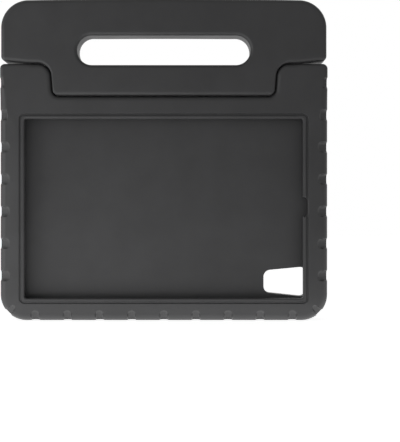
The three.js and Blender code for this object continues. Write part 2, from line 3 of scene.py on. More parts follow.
import bpy
import numpy as np
from bpy.props import FloatProperty, FloatVectorProperty, PointerProperty
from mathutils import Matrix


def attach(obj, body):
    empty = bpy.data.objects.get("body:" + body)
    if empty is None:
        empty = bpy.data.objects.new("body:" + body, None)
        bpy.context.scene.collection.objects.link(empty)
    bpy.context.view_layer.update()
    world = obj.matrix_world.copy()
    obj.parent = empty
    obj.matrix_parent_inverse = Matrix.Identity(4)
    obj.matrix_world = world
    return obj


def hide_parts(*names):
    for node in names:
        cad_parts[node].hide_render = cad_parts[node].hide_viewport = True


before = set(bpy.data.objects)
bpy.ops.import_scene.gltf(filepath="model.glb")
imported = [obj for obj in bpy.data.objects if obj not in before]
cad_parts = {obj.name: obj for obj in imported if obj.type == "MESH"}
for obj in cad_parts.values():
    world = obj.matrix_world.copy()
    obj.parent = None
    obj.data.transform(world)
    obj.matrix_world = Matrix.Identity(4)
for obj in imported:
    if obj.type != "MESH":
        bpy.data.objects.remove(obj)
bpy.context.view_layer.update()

bl_info = {
    "name": "Foam tablet case",
    "version": (1, 0, 0),
    "blender": (4, 5, 0),
    "location": "View3D > Sidebar > Foam Case",
    "description": "Moulded foam tablet case with a fold-back carrying handle, and its studio",
    "category": "Object",
}

# All sizes below are in millimetres; the meshes are scaled to metres when they are made.
MM = 0.001

# Body, as in the frame
BODY_WIDTH, BODY_HEIGHT, BODY_DEPTH = 212.0, 166.0, 24.0
BODY_CORNER, SHOULDER_CORNER, SHOULDER_INNER = 16.8, 3.2, 8.5
FRONT_EDGE, BACK_EDGE, RECESS_EDGE, SMALL_EDGE = 4.7, 6.8, 3.3, 2.4
SLOPE_WIDTH, SLOPE_DROP, STUD_HEIGHT = 6.5, 0.7, 0.8
FRONT_Y = -(BODY_DEPTH + STUD_HEIGHT) / 2
BACK_Y = FRONT_Y + BODY_DEPTH
HALF_WIDTH = BODY_WIDTH / 2

# Stretches over which the body's edges change: out from the recess, and down from the top
SIDE_BLEND, EDGE_FADE, SLOPE_FADE = np.array([11, 17]), np.array([26, 6]), np.array([46, 26])

# Pocket, window and the groove round it
LIP, POCKET_DEPTH, POCKET_HALF = 4.3, 6.9, 98.0
POCKET_LOW, POCKET_HIGH, POCKET_CORNER = 4.7, 140.1, 10.8
POCKET_MIDDLE = (POCKET_LOW + POCKET_HIGH) / 2
POCKET_FRONT = FRONT_Y + LIP
POCKET_BACK = POCKET_FRONT + POCKET_DEPTH
WINDOW_HALF, WINDOW_HALF_HEIGHT, WINDOW_CORNER = 90.0, 58.0, 1.2
GROOVE_OFFSET, GROOVE_WIDTH, GROOVE_CORNER = 3.4, 1.3, 3.6
LENS_HALF, LENS_REACH, LENS_RISE = 6.25, 3.2, 1.1

# Notches round the rim, and how far round each edge, in radians from its face, their round ends start
NOTCH_FRONT, NOTCH_BACK = 0.2, 0.75
# Share of the notch's depth on the side and on the back, loss of depth per millimetre on the face,
# and the power that makes its walls steep
NOTCH_SIDE, NOTCH_REAR, NOTCH_RAMP, NOTCH_STEEPNESS = 0.35, 0.5, 0.45, 5.0
NOTCH_PITCH, SIDE_NOTCH_MIDDLE = 20.8, 91.4
# A notch wall's place and spread in half widths, and the shares of plain line, bends and walls in
# how close the outline's points stand
WALL_PLACE, WALL_SPREAD, PLAIN_SHARE, BEND_SHARE, WALL_SHARE, BEND_GAIN = 0.9, 0.35, 0.3, 0.7, 0.7, 6
BASE_NOTCHES = (np.arange(9) - 4) * NOTCH_PITCH
SIDE_NOTCHES = SIDE_NOTCH_MIDDLE + (np.arange(7) - 3) * NOTCH_PITCH

# Hinge
KNUCKLE, SEAM, FOLD_OVERRUN = 10.35, 0.4, math.radians(10)
AXIS_Y, AXIS_Z = BACK_Y - KNUCKLE, BODY_HEIGHT - KNUCKLE
TONGUE_HALF, TONGUE_DRAFT, TONGUE_CORNER, BARREL_INSET = 72.4, 1.6, 4.4, 0.2
RECESS_FLOOR = AXIS_Z - KNUCKLE - SEAM
WING_BOTTOM = BODY_HEIGHT + SEAM
KNUCKLE_X = TONGUE_HALF + SEAM
PIN_RADIUS, PIN_HEAD, PIN_HEAD_LENGTH, PIN_IN, PIN_OUT = 3.0, 4.6, 2.5, 24.0, 20.0
BUSH_WALL, FIT = 1.7, 0.3

# Handle
HANDLE_HALF, HANDLE_TOP, HANDLE_CROWN, HANDLE_CORNER = 105.3, 206.9, 1.2, 17.5
HANDLE_END, WING_CORNER, WING_BACK, CREASE = 5.5, 3.2, 5.0, 1.8
WING_RISE, WING_RISE_LENGTH = 1.7, 18.0
BACK_ARC, SWELL_PLACE, SWELL_SPREAD = 84.0, 40.0, 20.0
# Heights above the hinge between which the swells rise, and where the sections stand close
SWELL_START, SWELL_FULL, ROOT_START, ROOT_END, SIDE_REACH = 12, 40, 66.5, 82.5, (1.2, 1.3)
SLOT_HALF, SLOT_HEIGHT, SLOT_RISE = 56.0, 19.0, 9.6
SLOT_MIDDLE = AXIS_Z + SLOT_RISE + SLOT_HEIGHT / 2

# Channel and openings
CHANNEL_HALF, CHANNEL_LOW, CHANNEL_HIGH, CHANNEL_DEPTH, CHANNEL_CORNER = 87.0, 1.8, 10.4, 9.6, 1.6
CAMERA_CORNERS = [(65, 17.6, 4.6), (93.4, 14.6, 4.6), (93.4, 34.7, 4.6), (65, 32, 4.6)]
CAMERA_BEVEL = 1.6
KEY_REACH, KEY_SLOPE, CUT_EDGE = 8.4, 3.6, 0.8
RIGHT_CUTS = [(17, 28.5), (68.6, 75.6), (103, 122)]
LEFT_CUTS = [(65.4, 79.4)]
SOUND_RADIUS, SOUND_INSET = 2.0, 8.2
SOUND_MOUTH = [(0.0, -0.4), (0.12, -0.12), (0.42, 0.02), (0.42, 1)]
SOUND_RIGHT = [42.4, 48.2, 97.2]
SOUND_LEFT = [27.4, 32.8, 38.1, 43.4, 101.4, 106.8, 112.1, 117.4]
# Studs: inset from the side, radius and lowest place of each row
STUD_ROWS = [(23.0, 2.35, 48.7), (13.5, 2.7, 59.1)]
STUDS_IN_ROW = 5

# Points along the outlines
BODY_POINTS, HANDLE_POINTS, SLOT_POINTS, WINDOW_POINTS, GROOVE_POINTS = 1360, 2400, 520, 720, 620
LENS_POINTS, POCKET_POINTS, CHANNEL_POINTS, CAMERA_POINTS = 100, 480, 360, 200

# How far cutting tools pass a face that they flare into, stand out of the part, and reach beyond it
PAST, STAND_OUT, BEYOND = 0.02, 2.0, 40.0

# Inset of the body's end faces, bevel of a pin, thinnest handle, and the share of the handle's
# thickness that its front and back edges may take
FACE_INSET, PIN_BEVEL, THINNEST, FRONT_SHARE, BACK_SHARE = 0.6, 0.8, 0.5, 0.42, 0.46

# Angle above which an edge is shaded sharp, weight of large faces, fewest points of a carved piece
SHARP_ANGLE, FLAT_WEIGHT, FEWEST_POINTS = 32, 60, 1000

# Values of the foam and of the hinge's plastic that the panel doesn't offer
FOAM_LOOK = {"specular": 0.25, "cloud": 45.0, "colour_change": 0.5, "roughness_change": 0.18}
PLASTIC_LOOK = {"specular": 0.5, "cloud": 120.0, "colour_change": 0.2, "roughness_change": 0.1}
PLASTIC_ROUGHNESS, PLASTIC_GRAIN, PLASTIC_GRAIN_DEPTH = 0.42, 0.25, 0.008

# Sockets that the grain offers beside its colour, with their first values
GRAIN_INPUTS = {"Roughness": 0.6, "Grain per metre": 1800.0, "Cloud per metre": 60.0,
                "Colour change": 0.12, "Roughness change": 0.08}
# Roundness of the pebbles; fineness, height and tint of the noise over them
PEBBLE_ROUNDNESS, DUST_FINENESS, DUST_HEIGHT, DUST_TINT = 0.6, 2.7, 0.45, 0.8

# Lamps, in metres: name, place, target, width, height, the power that it takes, and its share of it
LAMPS = (
    ("key lamp", (-0.65, -0.38, 0.08), (0, 0, 0.08), 0.4, 0.3, "key_power", 1.0),
    ("top lamp", (0.1, 0.45, 1.2), (0, 0, 0.1), 0.8, 0.8, "top_power", 1.0),
    ("table lamp", (-0.25, 0.0, 0.0003), (-0.25, 0.001, 1), 1.5, 1.1, "table_power", 1.0),
    ("strip lamp", (-0.1, -0.046, 0.0004), (-0.1, -0.045, 1), 1.0, 0.084, "table_power", 0.2),
    ("left table lamp", (-0.36, -0.23, 0.0005), (-0.36, -0.229, 1), 0.7, 0.36, "table_power", 0.55),
)

# Light of the surroundings, glow of the seen floor, half its width in metres, camera's sensor
SURROUNDING_LIGHT, FLOOR_GLOW, FLOOR_HALF, SENSOR = 0.19, 0.85, 4, 36

# Photograph: width and height in pixels, millimetres per pixel, and the pixel of x = 0, z = 103.7
PHOTO_SIZE, PHOTO_SCALE, PHOTO_ANCHOR = (400, 442), 0.6453, (163.7, 160.0, 103.7)


class FoamCaseShape(bpy.types.PropertyGroup):
    """Sizes of the case that can be tuned without moving what it mates with"""

    notch_depth: FloatProperty(
        name="Notch depth",
        description="Depth of the thumb notches on the front face",
        default=1.5 * MM, unit="LENGTH", subtype="DISTANCE")
    side_notch_width: FloatProperty(
        name="Side notch width",
        description="Length of one notch along the upright rims",
        default=7.0 * MM, unit="LENGTH", subtype="DISTANCE")
    base_notch_width: FloatProperty(
        name="Base notch width",
        description="Length of one notch along the base",
        default=5.8 * MM, unit="LENGTH", subtype="DISTANCE")
    groove_depth: FloatProperty(
        name="Groove depth",
        description="Depth of the line round the window",
        default=0.9 * MM, unit="LENGTH", subtype="DISTANCE")
    handle_edge: FloatProperty(
        name="Handle edge",
        description="Rounding of the handle's front edges",
        default=2.8 * MM, unit="LENGTH", subtype="DISTANCE")
    tongue_edge: FloatProperty(
        name="Tongue side edge",
        description="Rounding of the tongue's upright edges",
        default=1.3 * MM, unit="LENGTH", subtype="DISTANCE")
    slot_flare: FloatProperty(
        name="Slot flare",
        description="Rounding of the finger slot's mouth",
        default=2.6 * MM, unit="LENGTH", subtype="DISTANCE")
    swell: FloatProperty(
        name="Finger swell",
        description="Height of the two swells on the handle's back",
        default=1.3 * MM, unit="LENGTH", subtype="DISTANCE")


class FoamCaseFinish(bpy.types.PropertyGroup):
    """Colour and surface of the foam and of the hinge's plastic"""

    foam_colour: FloatVectorProperty(
        name="Foam colour",
        description="Colour of the moulded foam",
        subtype="COLOR", size=3, min=0, max=1, default=(0.040, 0.040, 0.041))
    foam_roughness: FloatProperty(
        name="Foam roughness",
        description="Mean roughness of the foam's skin",
        default=0.46, min=0, max=1, subtype="FACTOR")
    grain_size: FloatProperty(
        name="Grain size",
        description="Distance between the pebbles of the foam's skin",
        default=0.55 * MM, unit="LENGTH", subtype="DISTANCE")
    grain_depth: FloatProperty(
        name="Grain depth",
        description="Height of the pebbles of the foam's skin",
        default=0.03 * MM, unit="LENGTH", subtype="DISTANCE")
    plastic_colour: FloatVectorProperty(
        name="Plastic colour",
        description="Colour of the pins and bushes",
        subtype="COLOR", size=3, min=0, max=1, default=(0.06, 0.06, 0.062))


class FoamCaseStudio(bpy.types.PropertyGroup):
    """Camera, lamps and floor"""

    distance: FloatProperty(
        name="Camera distance",
        description="From the camera to the case's front face",
        default=0.8, unit="LENGTH", subtype="DISTANCE")
    key_power: FloatProperty(
        name="Key lamp",
        description="Power of the broad lamp on the left",
        default=1.7, unit="POWER")
    top_power: FloatProperty(
        name="Top lamp",
        description="Power of the lamp overhead",
        default=0.5, unit="POWER")
    table_power: FloatProperty(
        name="Table lamp",
        description="Power of the flat lamp on the table, which lights the case from below",
        default=1.5, unit="POWER")
    floor_colour: FloatVectorProperty(
        name="Floor colour",
        description="Colour of the floor",
        subtype="COLOR", size=3, min=0, max=1, default=(0.86, 0.86, 0.86))


def ease(value, low, high):
    """0 below low, 1 above high, and 3t^2 - 2t^3 between them."""
    t = np.clip((value - low) / (high - low), 0, 1)
    return t * t * (3 - 2 * t)


def even_steps(path, count):
    """The closed path as `count` points at even steps of its length."""
    path = np.vstack([path, path[:1]])
    run = np.concatenate([[0], np.cumsum(np.linalg.norm(np.diff(path, axis=0), axis=1))])
    at = np.linspace(0, run[-1], count, endpoint=False)
    return np.stack([np.interp(at, run, path[:, i]) for i in (0, 1)], 1)


def rounded_outline(corners, count):
    """Closed outline in X and Z as `count` points at even steps of length.
    Each corner (x, z, radius) is replaced by the arc that touches both of its sides."""
    corner = np.array(corners, float)
    here, radius = corner[:, :2], corner[:, 2:]
    before, after = np.roll(here, 1, 0) - here, np.roll(here, -1, 0) - here
    before /= np.linalg.norm(before, axis=1, keepdims=True)
    after /= np.linalg.norm(after, axis=1, keepdims=True)
    angle = np.arccos(np.clip((before * after).sum(1, keepdims=True), -1, 1))
    middle = before + after
    middle /= np.linalg.norm(middle, axis=1, keepdims=True)
    middle = here + middle * radius / np.sin(angle / 2)
    start = here + before * radius / np.tan(angle / 2) - middle
    left = np.where(before[:, :1] * after[:, 1:] - before[:, 1:] * after[:, :1] < 0, 1, -1)
    turn = left * (np.pi - angle) * np.linspace(0, 1, 49)[None, :]
    cos, sin = np.cos(turn), np.sin(turn)
    x = middle[:, :1] + start[:, :1] * cos - start[:, 1:] * sin
    z = middle[:, 1:] + start[:, :1] * sin + start[:, 1:] * cos
    return even_steps(np.stack([x.ravel(), z.ravel()], 1), count)


def outward(points):
    """Unit outward direction at each point of an anticlockwise outline: its tangent, turned by a
    right angle."""
    tangent = np.roll(points, -1, 0) - np.roll(points, 1, 0)
    tangent /= np.linalg.norm(tangent, axis=1, keepdims=True)
    return np.stack([tangent[:, 1], -tangent[:, 0]], 1)


def level(points, normals, grow, y):
    """One ring along Y: the outline moved outwards by grow, at the depth y."""
    moved = points + normals * np.broadcast_to(grow, len(points))[:, None]
    return np.stack([moved[:, 0], np.broadcast_to(y, len(points)), moved[:, 1]], 1)


def mesh_object(name, rings, closed=False):
    """Object whose skin joins neighbouring rings with quads, and a flat face closes each end unless
    the rings themselves close up. Rings run anticlockwise as seen from the first ring's side."""
    rings = np.asarray(rings, float)
    rows, count = rings.shape[:2]
    at = np.arange(rows * count).reshape(rows, count)
    ahead = np.roll(at, -1, 1)
    if closed:
        quads = np.stack([at, np.roll(at, -1, 0), np.roll(ahead, -1, 0), ahead], -1).reshape(-1, 4)
        loops, sizes = quads.ravel(), np.full(len(quads), 4)
    else:
        quads = np.stack([at[:-1], at[1:], ahead[1:], ahead[:-1]], -1).reshape(-1, 4)
        loops = np.concatenate([quads.ravel(), at[0], at[-1][::-1]])
        sizes = np.concatenate([np.full(len(quads), 4), [count, count]])
    mesh = bpy.data.meshes.new(name)
    mesh.vertices.add(rows * count)
    mesh.vertices.foreach_set("co", (rings.reshape(-1, 3) * MM).ravel())
    mesh.loops.add(len(loops))
    mesh.loops.foreach_set("vertex_index", loops.astype(np.int32))
    mesh.polygons.add(len(sizes))
    starts = np.concatenate([[0], np.cumsum(sizes)[:-1]])
    mesh.polygons.foreach_set("loop_start", starts.astype(np.int32))
    mesh.update(calc_edges=True)
    mesh.validate()
    piece = bpy.data.objects.new(name, mesh)
    bpy.context.scene.collection.objects.link(piece)
    return piece


def apply_modifiers(piece):
    """Keeps what the piece's modifiers make of it as its mesh."""
    depsgraph = bpy.context.evaluated_depsgraph_get()
    mesh = bpy.data.meshes.new_from_object(piece.evaluated_get(depsgraph))
    piece.modifiers.clear()
    piece.data = mesh
    mesh.name = piece.name


def carve(piece, tools):
    """Cuts each (tool, operation) into the piece in turn, and keeps the result as its mesh."""
    for tool, operation in tools:
        step = piece.modifiers.new(tool.name, "BOOLEAN")
        step.solver, step.operation, step.object = "MANIFOLD", operation, tool
    apply_modifiers(piece)
    for tool, _ in tools:
        bpy.data.objects.remove(tool)
    if len(piece.data.vertices) < FEWEST_POINTS:
        raise RuntimeError("the carving of " + piece.name + " left almost nothing")


def soften(piece):
    """Smooth shading that breaks at sharp edges, with large faces kept flat."""
    piece.data.shade_smooth()
    piece.data.set_sharp_from_angle(angle=math.radians(SHARP_ANGLE))
    weight = piece.modifiers.new("flat faces", "WEIGHTED_NORMAL")
    weight.keep_sharp, weight.weight = True, FLAT_WEIGHT
    apply_modifiers(piece)


def prism_x(name, shape, x):
    """Prism along X: the closed outline in Y and Z, clockwise in that plane, repeated at each x."""
    shape = np.asarray(shape, float)
    x = np.asarray(x, float)
    rings = np.empty((len(x), len(shape), 3))
    rings[:, :, 0] = x[:, None]
    rings[:, :, 1:] = shape[None, :, :]
    return mesh_object(name, rings)


def turned(name, profile, side, segments=64):
    """Piece turned on the hinge axis: circles of each radius and distance outwards from x = 0."""
    radius, x = np.array(profile, float).T
    if side < 0:
        radius, x = radius[::-1], -x[::-1]
    angle = np.arange(segments) * 2 * np.pi / segments
    rings = np.empty((len(x), segments, 3))
    rings[:, :, 0] = x[:, None]
    rings[:, :, 1] = AXIS_Y - radius[:, None] * np.cos(angle)
    rings[:, :, 2] = AXIS_Z + radius[:, None] * np.sin(angle)
    return mesh_object(name, rings)


def rectangle(half, low, high, radius, middle=0.0):
    """Corners of a rounded rectangle, anticlockwise."""
    left, right = middle - half, middle + half
    return [(left, low, radius), (right, low, radius), (right, high, radius), (left, high, radius)]


def quarter_round(steps):
    """What is left of a quarter round of radius 1 across and along it: 1 - sin a and 1 - cos a, for
    angles a from 0 to 90 degrees."""
    a = np.radians(np.linspace(0, 90, steps))
    return 1 - np.sin(a), 1 - np.cos(a)


def pocket_tool(name, corners, count, front, back,
                front_flare=0.0, back_flare=0.0, front_round=0.0, back_round=0.0):
    """Cutting tool along Y. It widens by a quarter round where it comes out of a face (flare) and
    narrows by a quarter round where it ends inside (round)."""
    points = rounded_outline(corners, count)
    normals = outward(points)
    late, early = quarter_round(9)
    rings = []
    if front_flare:
        rings.append((front_flare, front - STAND_OUT))
        rings += zip(front_flare * late, front - PAST + front_flare * early)
    elif front_round:
        rings += zip(-front_round * late, front + front_round * early)
    else:
        rings.append((0.0, front))
    if back_flare:
        rings += zip(back_flare * early, back + PAST - back_flare * late)
        rings.append((back_flare, back + STAND_OUT))
    elif back_round:
        rings += zip(-back_round * early, back - back_round * late)
    else:
        rings.append((0.0, back))
    return mesh_object(name, [level(points, normals, grow, y) for grow, y in rings])


def body_outline(count, sizes):
    """The body as seen from the front: a rounded rectangle with the tongue's recess in its top. The
    points stand closer together where the outline bends and at the notches' walls."""
    right = [(HALF_WIDTH, 0, BODY_CORNER), (HALF_WIDTH, BODY_HEIGHT, SHOULDER_CORNER),
             (KNUCKLE_X + TONGUE_DRAFT / 2, BODY_HEIGHT, SHOULDER_INNER),
             (KNUCKLE_X - TONGUE_DRAFT / 2, RECESS_FLOOR, TONGUE_CORNER + SEAM)]
    left = [(-x, z, radius) for x, z, radius in reversed(right)]
    dense = rounded_outline(left[-1:] + right + left[:-1], 8 * count)
    step = np.roll(dense, -1, 0) - dense
    heading = np.arctan2(step[:, 1], step[:, 0])
    span = 12
    change = np.exp(1j * (np.roll(heading, -span) - np.roll(heading, span)))
    bend = np.abs(np.angle(change)) / (2 * span * np.hypot(*step[0]))
    wall = np.exp(-(((notch_reach(dense, sizes) - WALL_PLACE) / WALL_SPREAD) ** 2))
    weight = PLAIN_SHARE + BEND_SHARE * np.clip(BEND_GAIN * bend, 0, 1) + WALL_SHARE * wall
    run = np.concatenate([[0], np.cumsum(weight)])
    at = np.interp(np.linspace(0, run[-1], count, endpoint=False), run, np.arange(len(run)))
    dense = np.vstack([dense, dense[:1]])
    return np.stack([np.interp(at, np.arange(len(run)), dense[:, i]) for i in (0, 1)], 1)


def notch_reach(points, sizes):
    """How far each outline point lies from the middle of the nearest notch, in half widths of that
    notch: below 1 inside it, 2 where there is none."""
    side_width, base_width = sizes
    x, z = points.T
    base = 2 * np.abs(x[:, None] - BASE_NOTCHES).min(1) / base_width
    side = 2 * np.abs(z[:, None] - SIDE_NOTCHES).min(1) / side_width
    turn = np.arctan2(np.abs(x) - (HALF_WIDTH - BODY_CORNER), BODY_CORNER - z) - np.pi / 4
    corner = 2 * BODY_CORNER * np.abs(turn) / base_width
    tiny = 1e-6
    reach = np.where(z < BODY_CORNER, corner, 2)
    reach = np.where(np.abs(x) > HALF_WIDTH - tiny, side, reach)
    return np.minimum(2, np.where(z < tiny, base, reach))


def scallop(reach, beyond):
    """Share of the full depth: 1 in the middle, steep walls, and a round end past the rim's straight
    part; beyond is the way past it in half widths."""
    return np.clip(1 - np.hypot(reach, np.clip(beyond, 0, None)) ** NOTCH_STEEPNESS, 0, 1)


def flat_floor(a, edge, face, side):
    """Depth at the angle a round an edge, below its quarter round, of a straight floor that runs from
    the depth on the face to the depth on the side."""
    return edge - 1 / (math.sin(a) / (edge - side) + math.cos(a) / (edge - face))


def body_block(shape):
    """Rings from the front face, down the bezel's slope, over the rim, to the back face.
    The rim is a quarter round in front and a larger one behind; each notch moves its points
    inwards along the rim's own direction, down to a flat floor across the edge, and the edges are
    small round the recess."""
    sizes = (shape.side_notch_width / MM, shape.base_notch_width / MM)
    points = body_outline(BODY_POINTS, sizes)
    normals = outward(points)
    x, z = np.abs(points[:, 0]), points[:, 1]
    lower_half = (z < BODY_HEIGHT / 2).astype(float)
    on_side = np.maximum(ease(x, *(KNUCKLE_X + SIDE_BLEND)), lower_half)
    low = 1 - ease(z, *(BODY_HEIGHT - EDGE_FADE))
    front_edge, back_edge = (
        RECESS_EDGE + on_side * (SMALL_EDGE + (edge - SMALL_EDGE) * low - RECESS_EDGE)
        for edge in (FRONT_EDGE, BACK_EDGE))
    slope = on_side * (1 - ease(z, *(BODY_HEIGHT - SLOPE_FADE)))
    reach, half, depth = notch_reach(points, sizes), sizes[1] / 2, shape.notch_depth / MM
    rings = [level(points, normals, -front_edge - SLOPE_WIDTH * slope - FACE_INSET, FRONT_Y)]
    for share in np.concatenate([[0, 0.35, 0.6], np.linspace(0.65, 1, 9)[:-1]]):
        inside = SLOPE_WIDTH * (1 - share)
        beyond = (front_edge * NOTCH_FRONT + inside) / half
        cut = max(depth - NOTCH_RAMP * inside, 0) * scallop(reach, beyond) * (slope > 0)
        y = FRONT_Y + SLOPE_DROP * slope * share ** 1.3 + cut
        rings.append(level(points, normals, -front_edge - SLOPE_WIDTH * slope * (1 - share), y))
    quarter = np.radians(np.linspace(0, 90, 15))
    for a in quarter:
        floor = flat_floor(a, front_edge, depth, depth * NOTCH_SIDE)
        cut = floor * scallop(reach, front_edge * (NOTCH_FRONT - a) / half)
        grow = front_edge * (math.sin(a) - 1) - cut * math.sin(a)
        y = FRONT_Y + SLOPE_DROP * slope + front_edge * (1 - math.cos(a)) + cut * math.cos(a)
        rings.append(level(points, normals, grow, y))
    cut = depth * NOTCH_SIDE * scallop(reach, 0)
    start, end = rings[-1], level(points, normals, -cut, BACK_Y - back_edge)
    rings.append(start + (end - start) / 2)
    for a in quarter[::-1]:
        floor = flat_floor(a, back_edge, depth * NOTCH_REAR, depth * NOTCH_SIDE)
        cut = floor * scallop(reach, back_edge * (NOTCH_BACK - a) / half)
        grow = back_edge * (math.sin(a) - 1) - cut * math.sin(a)
        y = BACK_Y - back_edge * (1 - math.cos(a)) - cut * math.cos(a)
        rings.append(level(points, normals, grow, y))
    rings.append(level(points, normals, -back_edge - FACE_INSET, BACK_Y))
    return mesh_object("foam_body", rings)


def hinge_arc(start, end):
    """Arc about the hinge axis, one seam outside the knuckle, and the distance from the axis of the
    folded handle's plane, where the cutting tools end."""
    radius = KNUCKLE + SEAM
    a = np.linspace(start, end, 97)
    arc = np.stack([AXIS_Y + radius * np.cos(a), AXIS_Z + radius * np.sin(a)], 1)
    return arc, (radius + BEYOND * math.sin(FOLD_OVERRUN)) / math.cos(FOLD_OVERRUN)


def tongue_room():
    """Room that the tongue turns in: the knuckle's circle, all above and behind it, and down to the
    plane that the handle's back reaches when it is folded."""
    arc, drop = hinge_arc(math.pi / 2, 1.5 * math.pi - FOLD_OVERRUN)
    far_y, far_z = AXIS_Y + BEYOND, AXIS_Z + BEYOND
    shape = np.vstack([[[far_y, far_z], [AXIS_Y, far_z]], arc, [[far_y, AXIS_Z - drop]]])
    return prism_x("tongue room", shape[::-1], [-KNUCKLE_X, KNUCKLE_X])


def shoulder_rounding():
    """What the quarter round behind the hinge axis takes off the shoulders; its radius shrinks at
    both ends by the shoulder's own corner, so that the corner runs on round the knuckle."""
    into = np.array([-2, 0, 0.03, 0.12, 0.3, 0.55, 0.9, 1.35, 1.9, 2.5, SHOULDER_CORNER])
    away = SHOULDER_CORNER - np.clip(into, 0, SHOULDER_CORNER)
    shrink = SHOULDER_CORNER - np.sqrt(SHOULDER_CORNER ** 2 - away ** 2)
    radius = KNUCKLE - np.concatenate([shrink, shrink[::-1]])
    x = np.concatenate([into - HALF_WIDTH, (HALF_WIDTH - into)[::-1]])
    a = np.linspace(math.pi / 2, 0, 49)
    far_y, far_z = AXIS_Y + BEYOND, AXIS_Z + BEYOND
    rings = np.empty((len(x), len(a) + 3, 3))
    rings[:, :, 0] = x[:, None]
    rings[:, :-3, 1] = AXIS_Y + radius[:, None] * np.cos(a)
    rings[:, :-3, 2] = AXIS_Z + radius[:, None] * np.sin(a)
    rings[:, -3:, 1] = [far_y, far_y, AXIS_Y]
    rings[:, -3:, 2] = [AXIS_Z, far_z, far_z]
    return mesh_object("shoulder rounding", rings[:, ::-1])


def groove_tool(depth):
    """Closed tube round the window: a slit with rounded lips and a rounded floor, carried along a
    rounded rectangle."""
    low = POCKET_MIDDLE - WINDOW_HALF_HEIGHT - GROOVE_OFFSET
    high = POCKET_MIDDLE + WINDOW_HALF_HEIGHT + GROOVE_OFFSET
    corners = rectangle(WINDOW_HALF + GROOVE_OFFSET, low, high, GROOVE_CORNER)
    points = rounded_outline(corners, GROOVE_POINTS)
    normals = outward(points)
    late, early = quarter_round(5)
    lip, floor = 0.35, 0.4
    outer = [(lip, -1.0), *zip(lip * late, lip * early - PAST / 2)]
    outer += zip(-floor * early, depth - floor * late)
    inner = [(-GROOVE_WIDTH - grow, y) for grow, y in reversed(outer)]
    rings = [level(points, normals, grow, FRONT_Y + y) for grow, y in outer + inner]
    return mesh_object("window groove", rings, closed=True)


def side_cut(z0, z1, side):
    """Cut through the side wall and the back's edge; its floor slopes down to the outside."""
    inner, outer, deep = HALF_WIDTH - KEY_REACH, HALF_WIDTH + 2, POCKET_FRONT + 1
    high = BACK_Y + STAND_OUT
    corners = np.array([(inner, deep), (outer, deep + KEY_SLOPE), (outer, high), (inner, high)])
    late, early = quarter_round(7)
    heights = np.concatenate([z0 + CUT_EDGE * late[::-1], z1 - CUT_EDGE * late])
    pulls = CUT_EDGE * np.concatenate([early[::-1], early])
    rings = []
    for z, pull in zip(heights, pulls):
        shape = corners.copy()
        shape[[0, 3], 0] += pull
        shape[:2, 1] += pull
        rings.append(np.column_stack([side * shape[:, 0], shape[:, 1], np.full(4, z)]))
    rings = np.array(rings)
    return mesh_object("side cut", rings[:, ::-1] if side > 0 else rings)


def round_tool(name, x, z, profile, segments=30):
    """Tool or dome turned about a line along Y: circles of each (radius, y) of the profile."""
    a = np.arange(segments) * 2 * np.pi / segments
    rings = [np.column_stack([x + radius * np.cos(a), np.full(segments, y), z + radius * np.sin(a)])
             for radius, y in profile]
    return mesh_object(name, rings)


def stud(x, z, radius):
    """Low dome: a cap of the sphere through its rim and its top."""
    sphere = (radius ** 2 + STUD_HEIGHT ** 2) / (2 * STUD_HEIGHT)
    reach = math.asin(radius / sphere) * np.linspace(1, 0.004, 7)
    dome = [(sphere * math.sin(a), BACK_Y + STUD_HEIGHT - sphere * (1 - math.cos(a))) for a in reach]
    return round_tool("stud", x, z, [(radius, BACK_Y - 1), *dome])


def pin_profile(grow):
    """Radius and distance from x = 0 down a pin with a head and a bevelled tip, and grow round it."""
    head, tip = TONGUE_HALF - PIN_IN, KNUCKLE_X + PIN_OUT
    neck = head + PIN_HEAD_LENGTH + grow
    wide, radius = PIN_HEAD + grow, PIN_RADIUS + grow
    return [(wide, head - grow), (wide, neck), (radius, neck),
            (radius, tip - PIN_BEVEL), (radius - PIN_BEVEL, tip + grow)]


def lower_edge(x):
    """Height of the handle's lower edge at x: tongue bottom, drafted side, wing underside, read off
    the half outline, in which z grows with x."""
    bottom, top = AXIS_Z - KNUCKLE, WING_BOTTOM + 30
    corners = [(0, bottom, 0),
               (TONGUE_HALF - TONGUE_DRAFT / 2, bottom, TONGUE_CORNER),
               (TONGUE_HALF + TONGUE_DRAFT / 2, WING_BOTTOM, SHOULDER_INNER + SEAM),
               (HANDLE_HALF - WING_RISE_LENGTH, WING_BOTTOM, WING_RISE_LENGTH),
               (HANDLE_HALF, WING_BOTTOM + WING_RISE, WING_CORNER),
               (HANDLE_HALF, top, 0), (0, top, 0)]
    path = rounded_outline(corners, 6000)
    path = path[(path[:, 1] < WING_BOTTOM + WING_RISE + WING_CORNER) & (path[:, 0] > 1e-6)]
    path = path[np.argsort(path[:, 0] + path[:, 1] * 1e-3)]
    keep = np.concatenate([[True], np.diff(path[:, 0]) > 1e-9])
    return np.interp(np.abs(x), path[keep, 0], path[keep, 1])


def upper_edge(x):
    """Height of the handle's upper edge at x: a slight crown that ends in round corners."""
    into = np.clip(np.abs(x) - (HANDLE_HALF - HANDLE_CORNER), 0, HANDLE_CORNER)
    corner = HANDLE_CORNER - np.sqrt(HANDLE_CORNER ** 2 - into ** 2)
    return HANDLE_TOP + HANDLE_CROWN * (1 - (x / HANDLE_HALF) ** 2) - corner


def handle_back(x, z, swell):
    """Back face: an arc tangent to the body's back at the hinge, with two swells shaped as bells."""
    rise = np.clip(z - AXIS_Z, 0, None)
    arc = BACK_ARC - np.sqrt(BACK_ARC ** 2 - rise ** 2)
    bell = np.exp(-(((np.abs(x) - SWELL_PLACE) / SWELL_SPREAD) ** 2))
    below = np.clip(AXIS_Z - z, 0, KNUCKLE)
    knuckle = KNUCKLE - np.sqrt(KNUCKLE ** 2 - below ** 2)
    return BACK_Y - arc + swell * bell * ease(rise, SWELL_START, SWELL_FULL) - knuckle


